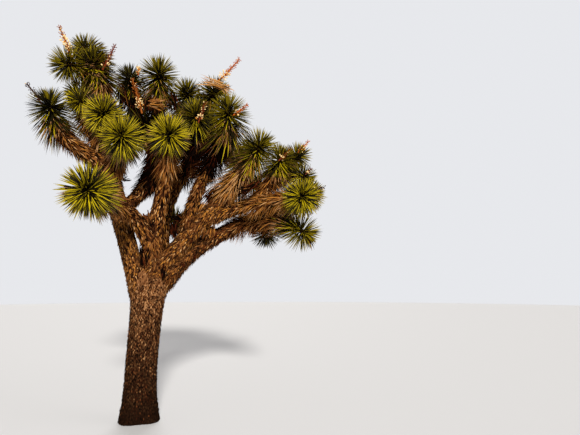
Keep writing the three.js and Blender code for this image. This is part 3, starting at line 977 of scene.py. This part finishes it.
# The share of each tone of leaf, in the order above, in the light and in the shade, and the same when old:
# the light and the shade are painted into the leaves' tones
BRIGHT_MIX = np.array((0.72, 0.15, 0.04, 0.09))
DARK_MIX = np.array((0.0, 0.06, 0.26, 0.68))
OLD_MIX = np.array((0.38, 0.16, 0.04, 0.3, 0.12))
DARK_OLD_MIX = np.array((0.03, 0.12, 0.25, 0.5, 0.1))
OLD_AGES = (0.45, 0.75)  # the ages between which leaves take the old ones' mix
DYING = 0.62  # the share of the oldest leaves whose outer part has died
DYING_AGES = (0.4, 0.8)
SHADED_BASES = 0.75  # the share of the new leaves whose inner third is painted dark as shade from the others
BARE_AGES = (0.4, 0.7)  # the ages between which the inner third comes into the light
BURIED = 0.2  # the share of all leaves painted dark as shade but for the outer part, which is in the light
INNER_END, OUTER_START = 0.35, 0.6  # along a leaf on its flat map
RIGHT_END, LEFT_START = 0.23, 0.66  # across it: the halves of its upper side, with its underside between
LEAST_SUN = 0.64
SUN_GAIN = 0.6  # for each metre from the darkest depth
SHADE_LINE = 0.3  # the crown's painted shade is deepest this far behind the trunk
SHADED_HEADS = ("inner_small", "centre_dark", "top_centre_left", "back_inner", "gap_rear")
LIGHT_ON = dict.fromkeys(SHADED_HEADS, 0.0)
LIGHT_ON |= {"far_left": 0.4, "low_rear": 0.3, "top_centre": 0.85, "right_high": 1.0}
WAXY_SURFACE = (0.45, 0.65, 0.2)
leaf_names = list(LEAVES)
leaf_finishes = finishes_of(LEAVES, *WAXY_SURFACE)


def sun_on(head):
    """How much light a head of leaves stands in, as painted into the tones of its leaves and skirt."""
    by_depth = np.clip(LEAST_SUN + SUN_GAIN * abs(head.heart[1] - SHADE_LINE), 0, 1)
    return LIGHT_ON.get(head.name, by_depth)


def leaves_of(sheaf, head):
    """The living leaves of one head, from the newest."""
    stem = head.stem
    count = int(LEAVES_FOR_REACH * head.reach)
    age = (np.arange(count) + 0.5) / count
    heart_at = stem.places[-1] - STEM_PAST_HEART
    hang = min(HANG_SHARE * heart_at, MOST_HANG)
    at = heart_at - np.interp(age, AGES, (*BEHIND, hang))
    here = np.searchsorted(stem.places, at).clip(0, len(stem.places) - 1)
    ahead = stem.ahead[here]
    angle = np.radians(np.interp(age, AGES, LEAF_ANGLES) + chance.normal(0, LEAF_TILT, count))[:, None]
    turn = np.arange(count) * GOLDEN_TURN + chance.normal(0, LEAF_STRAY, count)
    out = outward(stem, here, turn)
    ways = unit(ahead * np.cos(angle) + out * np.sin(angle))
    facing = ahead * np.sin(angle) - out * np.cos(angle)
    past = np.clip(at - stem.places[-1], 0, None)[:, None]
    depth = stem.radius[here] * np.interp(age, (0, 1), ROOTED_AT)
    roots = stem.axis[here] + ahead * past + out * depth[:, None]
    lengths = head.reach * np.interp(age, AGES, REACHES) * chance.uniform(*LEAF_LENGTHS, count)
    lengths *= np.interp(age, LENGTHENED_AGES, LENGTHENED.get(head.name, (1, 1)))
    droops = np.interp(age, AGES, DROOPS) * chance.uniform(*LEAF_DROOPS, count)
    bends = -lengths[:, None] * (ahead * droops[:, None] + UP * (SAG * age)[:, None])
    widths = LEAF_WIDTH * chance.uniform(*LEAF_WIDTHS, count)
    corners, faces, flat = sweeps(roots, ways, facing, lengths, widths, bends, LEAF_OUTLINE, GROOVED)
    sun = sun_on(head)
    tones = chance.choice(len(BRIGHT_MIX), count, p=BRIGHT_MIX * sun + DARK_MIX * (1 - sun))
    old = chance.random(count) < smooth_step(*OLD_AGES, age)
    tones[old] = chance.choice(len(OLD_MIX), old.sum(), p=OLD_MIX * sun + DARK_OLD_MIX * (1 - sun))
    tones = np.repeat(tones[:, None], len(faces), axis=1)
    outer, inner = flat[..., 1].min(axis=1) > OUTER_START, flat[..., 1].max(axis=1) < INNER_END
    dying = chance.random(count) < smooth_step(*DYING_AGES, age) * DYING
    tones[np.ix_(dying, outer)] = leaf_names.index("withered_leaf")
    # Painted shade: the inner third of newer leaves, and all but the outer part of some others
    shaded = chance.random(count) < SHADED_BASES * (1 - smooth_step(*BARE_AGES, age))
    buried = chance.random(count) < BURIED
    for hidden, part in ((shaded, inner), (buried, ~outer)):
        tones[np.ix_(hidden, part)] = leaf_names.index("shaded_base")
    # Painted shade on each leaf's underside and on the half of its upper side that faces down
    right, left = flat[..., 0].max(axis=1) < RIGHT_END, flat[..., 0].min(axis=1) > LEFT_START
    right_is_high = np.cross(ways, facing)[:, 2] > 0
    under = ~right & ~left
    tones[:, under] = UNDERSIDES[tones[:, under]]
    for lower, half in ((right_is_high, right), (~right_is_high, left)):
        here = np.ix_(lower, half)
        tones[here] = LOWER_HALVES[tones[here]]
    sheaf.add(corners, faces, flat, tones)


HEAD_GROUPS = {
    "left": (
        "far_left", "top_left", "top_left_side", "top_left_rear", "left_rear", "left_small", "left_mid",
    ),
    "middle": (
        "low_front", "left_front", "centre", "centre_dark", "top_centre", "top_centre_left", "inner_small",
    ),
    "upper_right": ("inner_right", "top_right", "right_high", "top_rear", "right_shoulder", "gap_rear"),
    "right": ("right_mid", "right_far", "right_small", "right_front", "right_tip", "low_right", "low_rear"),
    "back": (
        "back_left", "back_left_inner", "back_low_left", "back_centre", "back_centre_right", "back_inner",
        "back_right", "back_far_right", "back_low_right",
    ),
}
head_named = {head.name: head for head in heads}
for group, names in HEAD_GROUPS.items():
    sheaf = Sheaf()
    for name in names:
        leaves_of(sheaf, head_named[name])
    sheaf.piece(group + "_leaves", leaf_finishes, "leaf", ["rosette_" + name for name in names])


# The skirts of dead leaves
# Below the living leaves the last years' dead ones hang round the stem, still as long as when they were
# green, bleached gold to brown, each a little twisted as it dried.
SKIRT_ANGLES = (138, 160)
SKIRT_START = 0.14
SHORTEST_SKIRT = 0.03
SKIRT_ROOTED_AT = 0.9  # of the stem's radius
# The leaves' length as a share of the reach, by how far back they grow
SKIRT_FADE = ((0.14, 0.3, 0.5), (0.95, 0.7, 0.25))
SKIRT_LEAVES = 1000  # for each metre of the stem
SKIRT_LENGTHS, SKIRT_DROOPS, SKIRT_WIDTHS = (0.7, 1.1), (0.03, 0.25), (0.7, 1.05)
SKIRT_STRAY, SKIRT_TILT, SKIRT_TWIST = 0.15, 6, 0.35
SKIRT_OUTLINE = ((0.0, 1.1), (0.6, 0.85), (1.0, 0.0))
# The share of each tone of thatch in the light and in the shade, painted into a skirt by its head's light
LIT_SKIRT = np.array((0.14, 0.34, 0.28, 0.14, 0.05, 0.05))
DARK_SKIRT = np.array((0.0, 0.01, 0.04, 0.1, 0.25, 0.6))


def skirt_of(sheaf, head):
    """The dead leaves below the living ones of one head."""
    stem = head.stem
    run = max(stem.places[-1] - STEM_PAST_HEART - SKIRT_START, SHORTEST_SKIRT)
    count = int(SKIRT_LEAVES * run)
    age = (np.arange(count) + 0.5) / count
    angle = np.radians(np.interp(age, (0, 1), SKIRT_ANGLES) + chance.normal(0, SKIRT_TILT, count))
    turn = np.arange(count) * GOLDEN_TURN + chance.normal(0, SKIRT_STRAY, count)
    back_along = run * (1 - age)
    here = np.searchsorted(stem.places, back_along).clip(0, len(stem.places) - 1)
    out = outward(stem, here, turn)
    ways = unit(stem.ahead[here] * np.cos(angle)[:, None] + out * np.sin(angle)[:, None])
    roots = stem.axis[here] + out * (stem.radius[here] * SKIRT_ROOTED_AT)[:, None]
    faded = np.interp(stem.places[-1] - back_along, *SKIRT_FADE)
    lengths = head.reach * faded * chance.uniform(*SKIRT_LENGTHS, count)
    facing = unit(out + chance.normal(0, SKIRT_TWIST, (count, 3)))
    bends = -UP * (lengths * chance.uniform(*SKIRT_DROOPS, count))[:, None]
    widths = LEAF_WIDTH * chance.uniform(*SKIRT_WIDTHS, count)
    sun = sun_on(head)
    tones = chance.choice(len(THATCH), count, p=LIT_SKIRT * sun + DARK_SKIRT * (1 - sun))
    sheaf.add(*sweeps(roots, ways, facing, lengths, widths, bends, SKIRT_OUTLINE, KEELED), tones)


for group, names in HEAD_GROUPS.items():
    sheaf = Sheaf()
    for name in names:
        skirt_of(sheaf, head_named[name])
    sheaf.piece(group + "_skirts", thatch_finishes, "dead_leaf_thatch")


# The flower stalks
# Last year's flowers stood on a woody stalk from among the leaves. It has dried, with a spiral of short
# side stems that still hold some papery, egg-shaped seed capsules, pale where they have opened.
ROUND_SIDES = 7
round_turns = np.arange(ROUND_SIDES) / ROUND_SIDES * 2 * np.pi
ROUND = np.array([(np.cos(turn), -np.sin(turn)) for turn in round_turns])
STALK_OUTLINE = ((0.0, 1.0), (0.2, 0.95), (0.45, 0.8), (0.7, 0.62), (0.9, 0.45), (1.0, 0.0))
TWIG_OUTLINE = ((0.0, 1.0), (0.6, 0.7), (1.0, 0.0))
POD_OUTLINE = ((0.0, 0.25), (0.2, 0.8), (0.5, 1.0), (0.8, 0.7), (1.0, 0.0))
STALK_WIDTH = 0.021
STALK_BEND = 0.12
FULL_STALK = 0.4  # long: the width and the side stems of shorter ones are smaller
TWIG_STEP = 0.0055
TWIG_SPAN = (0.08, 0.97)  # of the stalk
TWIG_LENGTHS = (0.055, 0.03)  # at its foot and at its top
TWIG_WIDTH = 0.011
TWIG_ANGLES = (28, 58)
TWIG_SPREAD, TWIG_BENDS = (0.7, 1.2), (-0.3, 0.15)  # of its length, as it differs and as it bends up
POD_SIZE = (0.032, 0.017)
POD_PLACE = (0.85, 0.7)  # of its side stem's length, and of its bend
PODS_LEFT = 0.75  # the share of the side stems that keep one higher up, where they are small and closed
SMALL_POD = 0.62
POD_SPREAD, POD_TURN = (0.8, 1.15), 0.35  # how pods differ in size, and turn from their side stem's way
OPENED = (0.75, 0.12)  # the share of the pods, where the stalk is set with them and higher up
WOODY_SURFACE = (0.7, 0.95, 0.2)
STALK_TONES = {
    "tan_stalk": (150, 80, 20),
    "orange_stalk": (176, 84, 6),
    "red_stalk": (110, 42, 8),
    "dark_stalk": (56, 26, 8),
    "pale_pod": (244, 210, 150),
    "tan_pod": (196, 120, 40),
}
# The head that a stalk grows from, its two ends from the head's heart, its tone, and how far up it is set
# with pods
STALKS = (
    ("top_left_side", (0.03, -0.05, 0.081), (-0.145, -0.02, 0.475), "tan_stalk", 0.6),
    ("far_left", (-0.066, -0.1, -0.003), (-0.251, -0.05, 0.244), "dark_stalk", 0.0),
    ("top_left", (0.117, -0.18, -0.116), (0.231, -0.1, 0.257), "red_stalk", 0.1),
    ("centre_dark", (-0.034, -0.2, 0.086), (-0.182, -0.15, 0.561), "tan_stalk", 0.34),
    ("centre_dark", (-0.106, -0.1, 0.635), (-0.111, -0.1, 0.745), "orange_stalk", 0.9),
    ("top_right", (0.014, -0.1, 0.122), (0.332, -0.05, 0.536), "orange_stalk", 0.4),
    ("right_high", (0.031, -0.15, -0.076), (0.231, -0.12, 0.11), "orange_stalk", 0.2),
    ("inner_right", (0.01, -0.22, -0.137), (0.08, -0.25, 0.12), "red_stalk", 0.3),
    ("right_mid", (-0.05, -0.15, -0.046), (0.119, -0.12, 0.138), "red_stalk", 0.2),
    ("right_far", (0.0, -0.08, 0.038), (0.162, -0.05, 0.229), "orange_stalk", 0.5),
    ("right_small", (-0.006, -0.1, 0.006), (0.072, -0.1, 0.084), "red_stalk", 0.3),
    ("right_tip", (-0.026, -0.15, 0.021), (0.159, -0.12, 0.077), "dark_stalk", 0.2),
    ("back_left", (0.0, 0.1, 0.05), (-0.1, 0.2, 0.36), "tan_stalk", 0.4),
    ("back_right", (0.0, 0.1, 0.05), (-0.08, 0.26, 0.32), "orange_stalk", 0.3),
)
stalk_names = list(STALK_TONES)


def stalk_on(sheaf, heart, foot, top, tone, podded):
    """One stalk with its side stems and pods."""
    root, tip = heart + np.array(foot), heart + np.array(top)
    way = tip - root
    length = np.linalg.norm(way)
    bend = np.cross(way, OBLIQUE) * STALK_BEND
    full = (length / FULL_STALK) ** 0.5
    own_tone = stalk_names.index(tone)
    stalk = (root, (way - bend) / length, OBLIQUE, length, STALK_WIDTH * full, bend)
    sheaf.add(*sweeps(*(np.array((value,)) for value in stalk), STALK_OUTLINE, ROUND), own_tone)
    count = int(length / TWIG_STEP)
    share = np.linspace(*TWIG_SPAN, count)
    turn = (np.arange(count) * GOLDEN_TURN)[:, None]
    side = unit(np.cross(way, OBLIQUE))
    out = side * np.cos(turn) + unit(np.cross(way, side)) * np.sin(turn)
    angle = np.radians(chance.uniform(*TWIG_ANGLES, count))[:, None]
    ways = way / length * np.cos(angle) + out * np.sin(angle)
    middles = root + (way - bend) * share[:, None] + bend * share[:, None] ** 2
    lengths = np.interp(share, (0, 1), TWIG_LENGTHS) * full * chance.uniform(*TWIG_SPREAD, count)
    bends = UP * (lengths * chance.uniform(*TWIG_BENDS, count))[:, None]
    widths = np.full(count, TWIG_WIDTH)
    twigs = sweeps(middles, ways, out, lengths, widths, bends, TWIG_OUTLINE, KEELED)
    sheaf.add(*twigs, np.full(count, own_tone))
    low = share < podded
    ends = middles + ways * lengths[:, None] * POD_PLACE[0] + bends * POD_PLACE[1]
    pods = chance.random(count) < np.where(low, 1.0, PODS_LEFT)
    size = np.where(low, 1.0, SMALL_POD) * chance.uniform(*POD_SPREAD, count)
    opened = chance.random(count) < np.where(low, *OPENED)
    tones = np.where(opened, stalk_names.index("pale_pod"), stalk_names.index("tan_pod"))
    tones = np.where(~low & ~opened, own_tone, tones)
    pod_ways = unit(ways + chance.normal(0, POD_TURN, (count, 3)))
    given = (ends, pod_ways, np.cross(pod_ways, OBLIQUE), POD_SIZE[0] * size, POD_SIZE[1] * size, bends * 0)
    sheaf.add(*sweeps(*(values[pods] for values in given), POD_OUTLINE, ROUND), tones[pods])


stalks = Sheaf()
for name, foot, top, tone, podded in STALKS:
    stalk_on(stalks, head_named[name].heart, foot, top, tone, podded)
stalks.piece("flower_stalks", finishes_of(STALK_TONES, *WOODY_SURFACE), "flower_stalk")


# The loose dead leaves
# Long dead leaves that have come away from the rest. A few stand or hang on their own, and the others lie
# in bunches in the forks, in creases and behind the heads, where hardly any light reaches them: most of
# these are dark, as painted shade.
BUNCH_BREADTH = 0.004  # for one leaf: it grows with the square root of their number
OUTWARD = np.array((0.0, -1.0, 0.4))  # the way that their broad sides face
BUNCH_LENGTHS, BUNCH_DROOPS, BUNCH_WIDTHS, BUNCH_TWIST = (0.6, 1.1), (0.5, 1.5), (0.8, 1.1), 0.4
# Where a bunch starts, which way it points, its leaves' number, length, spread and droop, and their mix of
# tones: the shaded and dim mixes make a bunch painted shade
BUNCHES = (
    ((0.845, 0.02, 4.09), (-0.9, 0.0, 0.42), 24, 0.29, 0.13, 0.15, GOLDEN_MIX),
    ((0.86, 0.02, 4.08), (0.75, -0.3, -0.35), 16, 0.15, 0.35, 0.1, GOLDEN_MIX),
    ((-0.035, 0.0, 3.72), (0.9, -0.25, 0.12), 30, 0.2, 0.35, 0.15, GLOWING_MIX),
    ((-0.065, 0.3, 3.95), (0.0, 0.0, -1.0), 40, 0.24, 0.2, 0.05, SHADED_MIX),
    ((0.237, 0.3, 4.03), (0.05, 0.0, -1.0), 40, 0.26, 0.2, 0.05, SHADED_MIX),
    ((-0.39, 0.3, 4.02), (0.05, 0.0, -1.0), 44, 0.28, 0.22, 0.05, SHADED_MIX),
    ((-0.3, -0.08, 2.73), (0.9, -0.25, 0.1), 5, 0.11, 0.3, 0.1, SHADED_MIX),
    ((1.95, -0.25, 2.12), (0.5, -0.1, -0.8), 9, 0.17, 0.3, 0.1, DIM_MIX),
    ((0.03, 0.2, 2.76), (-0.15, -0.2, -0.97), 44, 0.13, 0.2, 0.05, SHADED_MIX),
    ((0.075, 0.2, 2.88), (-0.25, -0.1, -0.95), 50, 0.17, 0.15, 0.05, SHADED_MIX),
    ((0.01, 0.18, 2.7), (-0.5, -0.2, -0.85), 34, 0.12, 0.2, 0.05, SHADED_MIX),
    ((0.307, 0.2, 2.248), (0.1, -0.1, -0.97), 50, 0.16, 0.16, 0.02, SHADED_MIX),
    ((0.348, 0.2, 2.3), (0.0, -0.1, -0.97), 50, 0.19, 0.18, 0.02, SHADED_MIX),
    ((0.395, 0.2, 2.366), (-0.1, -0.1, -0.97), 50, 0.2, 0.18, 0.02, SHADED_MIX),
    ((0.399, 0.15, 2.334), (-0.6, -0.2, 0.55), 22, 0.1, 0.25, 0.02, SHADED_MIX),
    ((-0.028, -0.08, 1.929), (0.15, -0.05, -0.97), 40, 0.12, 0.12, 0.02, SHADED_MIX),
    ((-0.008, -0.09, 1.835), (0.15, -0.05, -0.97), 36, 0.12, 0.12, 0.02, SHADED_MIX),
    ((0.236, -0.145, 1.848), (-0.35, 0.0, -0.95), 16, 0.11, 0.12, 0.02, SHADED_MIX),
    ((0.218, -0.145, 1.766), (-0.3, 0.0, -0.97), 16, 0.11, 0.12, 0.02, SHADED_MIX),
    ((0.2, -0.15, 1.684), (-0.15, 0.0, -0.97), 14, 0.1, 0.12, 0.02, SHADED_MIX),
    ((0.0, -0.1, 2.31), (0.1, -0.15, -0.97), 60, 0.11, 0.18, 0.02, DIM_MIX),
    ((-0.04, -0.09, 2.29), (0.2, -0.15, -0.95), 40, 0.1, 0.18, 0.02, DIM_MIX),
    ((0.045, -0.12, 2.35), (0.0, -0.15, -0.98), 50, 0.12, 0.18, 0.02, DIM_MIX),
    ((0.7, -0.12, 2.17), (-0.5, 0.0, -0.85), 50, 0.11, 0.2, 0.02, DIM_MIX),
    ((0.755, -0.12, 2.195), (-0.5, 0.0, -0.85), 50, 0.11, 0.2, 0.02, DIM_MIX),
    ((0.795, -0.08, 2.67), (-0.6, 0.1, -0.75), 60, 0.2, 0.14, 0.02, SHADED_MIX),
    ((0.64, -0.12, 2.49), (-0.5, 0.0, -0.85), 50, 0.12, 0.2, 0.02, LIT_MIX),
    ((1.19, -0.58, 2.68), (-0.8, 0.1, -0.5), 44, 0.13, 0.2, 0.05, SHADED_MIX),
    ((1.1, -0.56, 2.62), (-0.8, 0.1, -0.5), 36, 0.12, 0.2, 0.05, SHADED_MIX),
    ((0.65, 0.2, 3.39), (0.0, 0.0, -1.0), 44, 0.24, 0.25, 0.05, SHADED_MIX),
)
loose_leaves = Sheaf()
for root, way, count, length, spread, droop, mix in BUNCHES:
    ways = unit(np.array(way) + chance.normal(0, spread, (count, 3)))
    roots = np.array(root) + chance.normal(0, BUNCH_BREADTH * count**0.5, (count, 3))
    lengths = length * chance.uniform(*BUNCH_LENGTHS, count)
    bends = -UP * (lengths * droop * chance.uniform(*BUNCH_DROOPS, count))[:, None]
    facing = unit(OUTWARD + chance.normal(0, BUNCH_TWIST, (count, 3)))
    widths = LEAF_WIDTH * chance.uniform(*BUNCH_WIDTHS, count)
    made = sweeps(roots, ways, facing, lengths, widths, bends, LEAF_OUTLINE, KEELED)
    loose_leaves.add(*made, chance.choice(len(THATCH), count, p=mix))
loose_leaves.piece("loose_dead_leaves", thatch_finishes, "dead_leaf_thatch")


# The floor, the light and the air
# A plain pale floor under soft studio light: a large lamp in front and a little to the left, as the low
# sky stood in front of the tree, and weaker ones from the right and from behind.
FLOOR_RADIUS = 40
FLOOR_SIDES = 96
FLOOR_LEVEL = -0.003
FLOOR_COLOUR = (0.8, 0.82, 0.86)
FLOOR_ROUGHNESS = 0.95
AIR_LIGHT = (0.17, 0.16, 0.15)
AIR_SEEN = (0.8, 0.81, 0.84)
at = (0, 0, FLOOR_LEVEL)
bpy.ops.mesh.primitive_circle_add(vertices=FLOOR_SIDES, radius=FLOOR_RADIUS, fill_type="NGON", location=at)
floor = bpy.context.object
floor.name = "floor"
floor_paint = bpy.data.materials.new("floor_paint")
floor_paint.use_nodes = True
floor_surface = floor_paint.node_tree.nodes["Principled BSDF"].inputs
floor_surface["Base Color"].default_value = (*FLOOR_COLOUR, 1)
floor_surface["Roughness"].default_value = FLOOR_ROUGHNESS
floor.data.materials.append(floor_paint)
# How far down each lamp shines and where it stands round the tree, from the front, how wide it is as seen
# from the tree, its strength and its colour
LAMPS = {
    "key": (21, -4, 8.0, 4.4, (1.0, 0.945, 0.86)),
    "fill": (20, 62, 40.0, 0.35, (1.0, 0.95, 0.9)),
    "back": (25, 175, 40.0, 1.7, (1.0, 0.97, 0.95)),
}
for name, (down, turn, breadth, strength, colour) in LAMPS.items():
    lamp = bpy.data.lights.new(name, "SUN")
    lamp.angle = np.radians(breadth)
    lamp.energy = strength
    lamp.color = colour
    light = bpy.data.objects.new(name, lamp)
    light.rotation_euler = np.radians((90 - down, 0, turn))
    bpy.context.scene.collection.objects.link(light)
world = bpy.data.worlds.new("air")
bpy.context.scene.world = world
world.use_nodes = True
air = world.node_tree
seen = node_in(air, "ShaderNodeLightPath").outputs["Is Camera Ray"]
air.links.new(colour_mix(air, seen, AIR_LIGHT, AIR_SEEN), air.nodes["Background"].inputs["Color"])
bpy.context.scene.view_settings.view_transform = "Standard"
